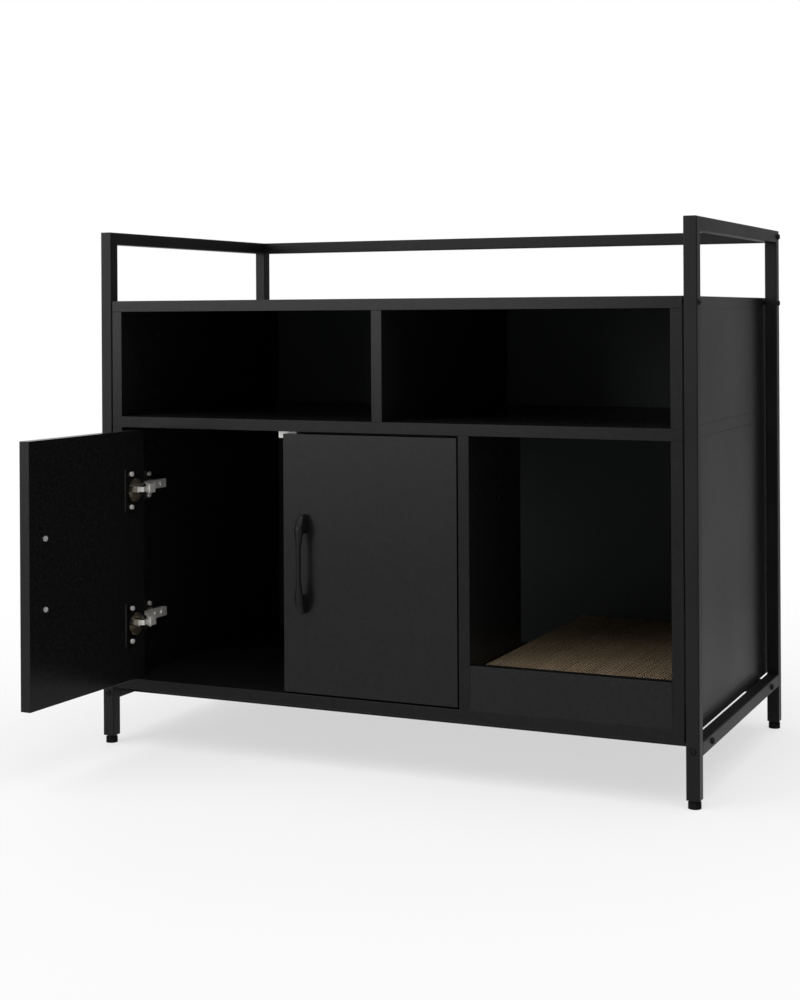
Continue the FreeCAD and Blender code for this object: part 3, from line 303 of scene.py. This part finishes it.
def piece(name, points, faces, material, smooth=True):
    """A new piece from points and faces in the world's own metres, its faces turned outwards."""
    mesh = bpy.data.meshes.new(name)
    mesh.from_pydata(np.reshape(points, (-1, 3)).tolist(), [], faces)
    shell = bmesh.new()
    shell.from_mesh(mesh)
    bmesh.ops.recalc_face_normals(shell, faces=shell.faces)
    shell.to_mesh(mesh)
    shell.free()
    mesh.polygons.foreach_set("use_smooth", np.full(len(mesh.polygons), smooth))
    mesh.materials.append(material)
    item = bpy.data.objects.new(name, mesh)
    bpy.context.collection.objects.link(item)
    return item


bow = bow_surface()
right_low, right_high = (np.array(corner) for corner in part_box("right_handle"))
right_middle = (right_low + right_high) / 2
pivots = {joint["name"]: joint["pos_m"] for joint in frame["record"]["behaviour"]["joints"]
          if "pos_m" in joint}
right_pivot, left_pivot = (np.array(pivots[name]) for name in ("right_door_hinge", "left_door_hinge"))

# The right handle mirrored in the middle between the doors, then turned with the left door as it stands open.
right_bow = np.stack([right_middle[0] + bow[..., 0], right_high[1] - bow[..., 1],
                      right_middle[2] + bow[..., 2]], axis=-1)
from_hinge = right_pivot[0] - right_bow[..., 0]
behind_hinge = right_bow[..., 1] - right_pivot[1]
left_bow = np.stack([
    left_pivot[0] + from_hinge * math.cos(DOOR_OPENING) + behind_hinge * math.sin(DOOR_OPENING),
    left_pivot[1] - from_hinge * math.sin(DOOR_OPENING) + behind_hinge * math.cos(DOOR_OPENING),
    right_bow[..., 2]], axis=-1)

for side, surface in (("right", right_bow), ("left", left_bow)):
    cast = piece(side + "_bow_handle", surface, tube_faces(*surface.shape[:2]), powder_coat)
    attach(cast, side + "_door")
    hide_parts(side + "_handle")

# ------------------------------------------------------------------ hinges
# Cup hinges of pressed steel, nickel plated: a cup in the door, a bent link and an arm on a cross plate.
# The links and arms are bright with fine drawn scratches. The cups and plates have the same plating, painted
# darker as painted shade for the dark inside of the cabinet that they mirror.

PLATING_RELIEF = 0.000008
BRIGHT_NICKEL_TONES = ((0.74, 0.71, 0.66), (0.86, 0.84, 0.80))
# The same nickel painted darker for the cups and plates: painted shade, not a different finish.
SHADED_NICKEL_TONES = ((0.33, 0.305, 0.27), (0.45, 0.42, 0.38))


def plated(name, tones, low, high, cloud_cells, scratch_cells, stretch=(1, 1, 1)):
    """The effect of a plated sheet: clouds grade its colour, and fine scratches give its roughness, from low
    to high, and its relief."""
    sheet = effect(name, LOOK)
    clouds = speckle(sheet, cloud_cells)
    scratches = speckle(sheet, scratch_cells, stretch=stretch)
    put_out(sheet, {
        "Colour": graded(sheet, clouds, tones),
        "Roughness": between(sheet, scratches, low, high),
        "Normal": relief(sheet, scratches, PLATING_RELIEF),
    })
    return sheet


nickel_plate = plated("nickel_plate", BRIGHT_NICKEL_TONES, low=0.30, high=0.44,
                      cloud_cells=60, scratch_cells=900, stretch=(4, 0.25, 1))
# The cups and plates: the same nickel, its colour painted darker as painted shade.
shaded_nickel = plated("shaded_nickel", SHADED_NICKEL_TONES, low=0.18, high=0.28,
                      cloud_cells=80, scratch_cells=1100)
dress(coated("nickel_plating_bright", nickel_plate, Metallic=0.45),
      ["left_hinge_links", "right_hinge_links", "left_hinge_arms", "right_hinge_arms", "hinge_arm_pins"])
dress(coated("nickel_plating_shaded", shaded_nickel, Metallic=1.0),
      ["left_hinge_cups", "right_hinge_cups", "left_hinge_plates", "right_hinge_plates"])

# ------------------------------------------------------------------ screws and fittings
# Bright zinc screws in the hinges, handles and stop, black button-head bolts in the frame.
# Inside the boards are blackened cam locks, zinc cam bolts and beech dowels, and nails hold the back.

ZINC_TONES = ((0.80, 0.81, 0.83), (0.92, 0.92, 0.92))
BLACKENED_TONES = ((0.006, 0.006, 0.006), (0.011, 0.011, 0.011))
BEECH_TONES = ((0.45, 0.29, 0.16), (0.64, 0.46, 0.29))


def grained(name, tones, low, high, depth, cells_per_metre, detail=3.0, stretch=(1, 1, 1)):
    """The effect of a single grain, which gives the colour, the roughness from low to high and the relief."""
    finish = effect(name, LOOK)
    grain = speckle(finish, cells_per_metre, detail, stretch)
    put_out(finish, {
        "Colour": graded(finish, grain, tones),
        "Roughness": between(finish, grain, low, high),
        "Normal": relief(finish, grain, depth),
    })
    return finish


bright_zinc = grained("bright_zinc", ZINC_TONES, low=0.20, high=0.38, depth=0.000006, cells_per_metre=350)
dress(coated("bright_zinc", bright_zinc, Metallic=0.5),
      ["left_handle_screws", "right_handle_screws", "left_cup_screws", "right_cup_screws",
       "hinge_arm_screws", "hinge_plate_screws", "door_stop_screws", "cam_bolts",
       "tube_end_nuts", "back_panel_nails"])
dress(powder_coat, ["post_bolts", "cross_bar_bolts", "back_rail_bolts", "top_board_screws"])

blackened = grained("blackened_zinc", BLACKENED_TONES, low=0.42, high=0.58, depth=0.00002,
                    cells_per_metre=500)
dress(coated("blackened_cams", blackened, Specular_IOR_Level=0.3), ["cam_locks"])

beech_grain = grained("beech_grain", BEECH_TONES, low=0.5, high=0.65, depth=0.00005,
                      cells_per_metre=500, detail=4, stretch=(0.2, 1, 1))
dress(coated("beech", beech_grain), ["dowels"])

# ------------------------------------------------------------------ door stop
# A small moulded block of white plastic that both doors close against.
# Two screws hold it up under the middle shelf, behind the line where the doors meet.

WHITE_TONES = ((0.74, 0.74, 0.71), (0.80, 0.80, 0.77))

white_moulding = grained("white_moulding", WHITE_TONES, low=0.36, high=0.46, depth=0.00003,
                         cells_per_metre=800)
dress(coated("white_plastic", white_moulding, Subsurface_Weight=0.05), ["door_stop"])

# ------------------------------------------------------------------ feet
# Levelling feet of black moulded plastic, each on a threaded stem in the insert at the foot of its post.
# The rim is fluted so that it turns by hand.

BLACK_TONES = ((0.007, 0.007, 0.007), (0.011, 0.011, 0.011))

black_moulding = grained("black_moulding", BLACK_TONES, low=0.48, high=0.60, depth=0.00004,
                         cells_per_metre=1800)
dress(coated("black_plastic", black_moulding, Specular_IOR_Level=0.05),
      ["left_front_foot", "left_back_foot", "right_front_foot", "right_back_foot", "foot_inserts"])

# ------------------------------------------------------------------ scratching pad
# Strips of single-wall corrugated cardboard glued side by side and stood on edge: straight liners with a
# waved sheet between each two. The pad lies loose on the bay's floor behind the sill. Its cut tops show a
# lighter paper edge, and every other face is painted far darker than the paper, as painted shade down between
# the strips.

STRIP_COUNT = 60
LINER = 0.0005
LINER_LIFT = 0.0002
FLUTE_SHEET = 0.0006
FLUTE_PITCH = 0.0095
FLUTE_DEPTH = 0.006
FLUTE_INSET = 0.0005
STEPS_PER_FLUTE = 6
BLOCK_INSET = 0.0004
BLOCK_LAP = 0.0003
RAGGED_FLUTES = (0.0001, 0.0010)
RAGGED_LINERS = (0, 0.0006)
# Colour of every face that does not face up: far darker than the paper, painted shade between the strips.
SHADED_WALL_TONES = ((0.07, 0.042, 0.020), (0.14, 0.092, 0.050))
CUT_EDGE_TONES = ((0.60, 0.455, 0.285), (0.74, 0.58, 0.39))

pad_low, pad_high = (np.array(corner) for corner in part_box("scratch_pad"))
strip_pitch = (pad_high[0] - pad_low[0] - LINER) / STRIP_COUNT
chance = np.random.default_rng(7)


def flute_ribbons():
    """Waved sheets on edge: x = strip middle + height * sin(2 pi y / pitch + phase), swept down to the block.
    Each station has four corners, so a ribbon is a closed square tube along y."""
    stations = int((pad_high[1] - pad_low[1]) / FLUTE_PITCH * STEPS_PER_FLUTE) + 1
    y = np.linspace(pad_low[1] + FLUTE_INSET, pad_high[1] - FLUTE_INSET, stations)
    middles = pad_low[0] + LINER / 2 + strip_pitch * (np.arange(STRIP_COUNT) + 0.5)
    phases = chance.uniform(0, 2 * np.pi, STRIP_COUNT)
    swing = (strip_pitch - LINER - FLUTE_SHEET) / 2
    line = middles[:, None] + swing * np.sin(2 * np.pi * y[None, :] / FLUTE_PITCH + phases[:, None])
    top = pad_high[2] - chance.uniform(*RAGGED_FLUTES, (STRIP_COUNT, 1))
    points = np.empty((STRIP_COUNT, stations, 4, 3))
    points[..., 0] = line[..., None] + FLUTE_SHEET / 2 * np.array([-1, -1, 1, 1])
    points[..., 1] = y[None, :, None]
    points[..., 2] = np.where([False, True, True, False], top[..., None], pad_high[2] - FLUTE_DEPTH)
    return points


def bars(lows, highs):
    """Straight bars between pairs of corners, each as two stations of four corners along y."""
    points = np.empty((len(lows), 2, 4, 3))
    points[..., 0] = np.where([True, True, False, False], lows[:, None, None, 0], highs[:, None, None, 0])
    points[:, 0, :, 1] = lows[:, None, 1]
    points[:, 1, :, 1] = highs[:, None, 1]
    points[..., 2] = np.where([False, True, True, False], highs[:, None, None, 2], lows[:, None, None, 2])
    return points


liner_x = pad_low[0] + strip_pitch * np.arange(STRIP_COUNT + 1)
liner_lows = np.stack([liner_x, np.full_like(liner_x, pad_low[1]),
                       np.full_like(liner_x, pad_low[2] + LINER_LIFT)], axis=-1)
liner_highs = np.stack([liner_x + LINER, np.full_like(liner_x, pad_high[1]),
                        pad_high[2] - chance.uniform(*RAGGED_LINERS, len(liner_x))], axis=-1)
block_low = np.array([[pad_low[0] + LINER / 2, pad_low[1] + BLOCK_INSET, pad_low[2]]])
block_high = np.array([[pad_high[0] - LINER / 2, pad_high[1] - BLOCK_INSET,
                        pad_high[2] - FLUTE_DEPTH + BLOCK_LAP]])

pad_points = []
pad_faces = []
for group in (flute_ribbons(), bars(liner_lows, liner_highs), bars(block_low, block_high)):
    one = np.array(tube_faces(*group.shape[1:3]))
    first = sum(len(part) for part in pad_points)
    starts = first + np.arange(len(group)) * group.shape[1] * group.shape[2]
    pad_faces += (one[None, :, :] + starts[:, None, None]).reshape(-1, 4).tolist()
    pad_points.append(group.reshape(-1, 3))

board_paper = effect("board_paper", LOOK)
fibre = speckle(board_paper, cells_per_metre=420, detail=5)
blotch = speckle(board_paper, cells_per_metre=22)
# Faces turned up take the lighter cut-edge colour, all the others the painted shade of the walls.
cut_edge = between(board_paper, facing(board_paper, "Z"), low=0.0, high=1.0, start=0.5, end=0.9)
shaded_wall_tone = graded(board_paper, fibre, SHADED_WALL_TONES)
edge_tone = graded(board_paper, blotch, CUT_EDGE_TONES, start=0.35, end=0.65)
paper_tone = node(board_paper, "Mix", {0: cut_edge, 6: shaded_wall_tone, 7: edge_tone}, data_type="RGBA")
put_out(board_paper, {
    "Colour": paper_tone.outputs[2],
    "Roughness": between(board_paper, fibre, low=0.75, high=0.9),
    "Normal": relief(board_paper, fibre, depth=0.0001),
})
cardboard = coated("cardboard", board_paper, Specular_IOR_Level=0.2)
pad = piece("scratching_strips", np.concatenate(pad_points), pad_faces, cardboard, smooth=False)
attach(pad, "scratch_pad")
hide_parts("scratch_pad")

# ------------------------------------------------------------------ floor
# A plain white studio floor, wide enough to run past the frame on every side. To the camera it glows a
# little, more so away from the cabinet, so that it runs into the white backdrop and keeps a soft shadow.
# In reflections it is dimmer on the right behind the cabinet, where the room is less lit.

FLOOR_REACH = 14.0
FLOOR_WHITE = (0.93, 0.93, 0.93, 1)
FLOOR_ROUGHNESS = 0.6
GLOW_BY_CABINET = 0.60
GLOW_FAR_OFF = 1.0
GLOW_RISES_FROM = 0.6
GLOW_RISES_TO = 1.7
RIGHT_BEHIND = (0.75, 0.66, 0.0)
DIMMEST_FLOOR = 0.35


def seen_rays(tree):
    """The light path, and a mask that is 1 for rays of the camera, of a reflection or through glass."""
    ray = node(tree, "LightPath", {})
    seen = node(tree, "Math", {0: ray.outputs["Is Camera Ray"], 1: ray.outputs["Is Glossy Ray"]},
                operation="MAXIMUM")
    seen = node(tree, "Math", {0: seen.outputs["Value"], 1: ray.outputs["Is Transmission Ray"]},
                operation="MAXIMUM")
    return ray, seen.outputs["Value"]


def dimmed_reflections(tree, ray, place, dimmest, start, end):
    """1, and in reflections less to the right behind: down to the dimmest level as the place's or direction's
    reach that way goes from start to end."""
    reach = node(tree, "VectorMath", {0: place, 1: RIGHT_BEHIND}, operation="DOT_PRODUCT")
    dimmer = between(tree, reach.outputs["Value"], 1.0, dimmest, start, end)
    return mixed(tree, ray.outputs["Is Glossy Ray"], 1.0, dimmer)


floor_mesh = bpy.data.meshes.new("studio_floor")
floor_mesh.from_pydata([(-FLOOR_REACH, -FLOOR_REACH, 0), (FLOOR_REACH, -FLOOR_REACH, 0),
                        (FLOOR_REACH, FLOOR_REACH, 0), (-FLOOR_REACH, FLOOR_REACH, 0)], [], [(0, 1, 2, 3)])
floor = bpy.data.objects.new("studio_floor", floor_mesh)
bpy.context.collection.objects.link(floor)
floor_paint = bpy.data.materials.new("studio_floor")
floor_paint.use_nodes = True
floor_tree = floor_paint.node_tree
matt_floor = floor_tree.nodes["Principled BSDF"]
matt_floor.inputs["Base Color"].default_value = FLOOR_WHITE
matt_floor.inputs["Roughness"].default_value = FLOOR_ROUGHNESS
floor_ray, floor_seen = seen_rays(floor_tree)
floor_place = node(floor_tree, "TexCoord", {}).outputs["Object"]
distance = node(floor_tree, "VectorMath", {0: floor_place}, operation="LENGTH")
glow_share = between(floor_tree, distance.outputs["Value"], GLOW_BY_CABINET, GLOW_FAR_OFF,
                     GLOW_RISES_FROM, GLOW_RISES_TO)
glow = node(floor_tree, "Math", {0: floor_seen, 1: glow_share}, operation="MULTIPLY")
glow_level = dimmed_reflections(floor_tree, floor_ray, floor_place, DIMMEST_FLOOR, start=-0.1, end=0.8)
white_glow = node(floor_tree, "Emission", {"Color": (1, 1, 1, 1), "Strength": glow_level})
floor_mix = node(floor_tree, "MixShader", {0: glow.outputs["Value"], 1: matt_floor.outputs["BSDF"],
                                           2: white_glow.outputs["Emission"]})
floor_tree.links.new(floor_mix.outputs["Shader"], floor_tree.nodes["Material Output"].inputs["Surface"])
floor_mesh.materials.append(floor_paint)

# ------------------------------------------------------------------ light
# Soft studio light: a low soft lamp on the left in front, a broad one overhead and an even pale room, which
# shows white to the camera and in reflections, and is dimmer on the right behind the cabinet.

ROOM_LIGHT = 0.34
DIMMEST_ROOM = 0.28
LAMPS = {
    # name: direction towards the lamp, strength, width of the lamp in degrees
    "left_softbox": ((-0.56, -0.83, 0.09), 1.45, 34),
    "overhead_softbox": ((0.05, -0.25, 1.0), 2.0, 70),
}

world = bpy.data.worlds.new("studio")
bpy.context.scene.world = world
world.use_nodes = True
room = world.node_tree
backdrop = room.nodes["Background"]
backdrop.inputs["Color"].default_value = (1, 1, 1, 1)
room_ray, room_seen = seen_rays(room)
room_level = between(room, room_seen, ROOM_LIGHT, 1.0, start=0.0, end=1.0)
direction = node(room, "TexCoord", {}).outputs["Generated"]
mirrored_level = dimmed_reflections(room, room_ray, direction, DIMMEST_ROOM, start=-0.2, end=0.9)
room_strength = node(room, "Math", {0: room_level, 1: mirrored_level}, operation="MULTIPLY")
room.links.new(room_strength.outputs["Value"], backdrop.inputs["Strength"])

for lamp_name, (towards, strength, spread) in LAMPS.items():
    lamp = bpy.data.lights.new(lamp_name, "SUN")
    lamp.energy = strength
    lamp.angle = math.radians(spread)
    holder = bpy.data.objects.new(lamp_name, lamp)
    holder.rotation_euler = Vector(towards).to_track_quat("Z", "Y").to_euler()
    bpy.context.collection.objects.link(holder)

# ------------------------------------------------------------------ camera
# The camera stands 0.63 m above the floor, to the right of the middle, and looks level to the left.
# The shift frames the cabinet while its upright lines stay upright.

CAMERA_PLACE = (1.0144, -2.2699, 0.6315)
CAMERA_YAW = math.radians(24.2945)
CAMERA_PITCH = math.radians(-0.0168)
CAMERA_ROLL = math.radians(-0.322)

ahead = Vector((-math.sin(CAMERA_YAW) * math.cos(CAMERA_PITCH), math.cos(CAMERA_YAW) * math.cos(CAMERA_PITCH),
                math.sin(CAMERA_PITCH)))
level_right = Vector((math.cos(CAMERA_YAW), math.sin(CAMERA_YAW), 0))
level_up = level_right.cross(ahead)
right = level_right * math.cos(CAMERA_ROLL) + level_up * math.sin(CAMERA_ROLL)
up = right.cross(ahead)
camera_data = bpy.data.cameras.new("camera")
camera_data.lens = 62.304
camera_data.sensor_width = 36
camera_data.shift_x = -0.0046
camera_data.shift_y = -0.1852
camera = bpy.data.objects.new("camera", camera_data)
camera_turn = Matrix((right, up, -ahead)).transposed().to_4x4()
camera.matrix_world = Matrix.Translation(CAMERA_PLACE) @ camera_turn
bpy.context.collection.objects.link(camera)
bpy.context.scene.camera = camera
bpy.context.scene.view_settings.view_transform = "Standard"
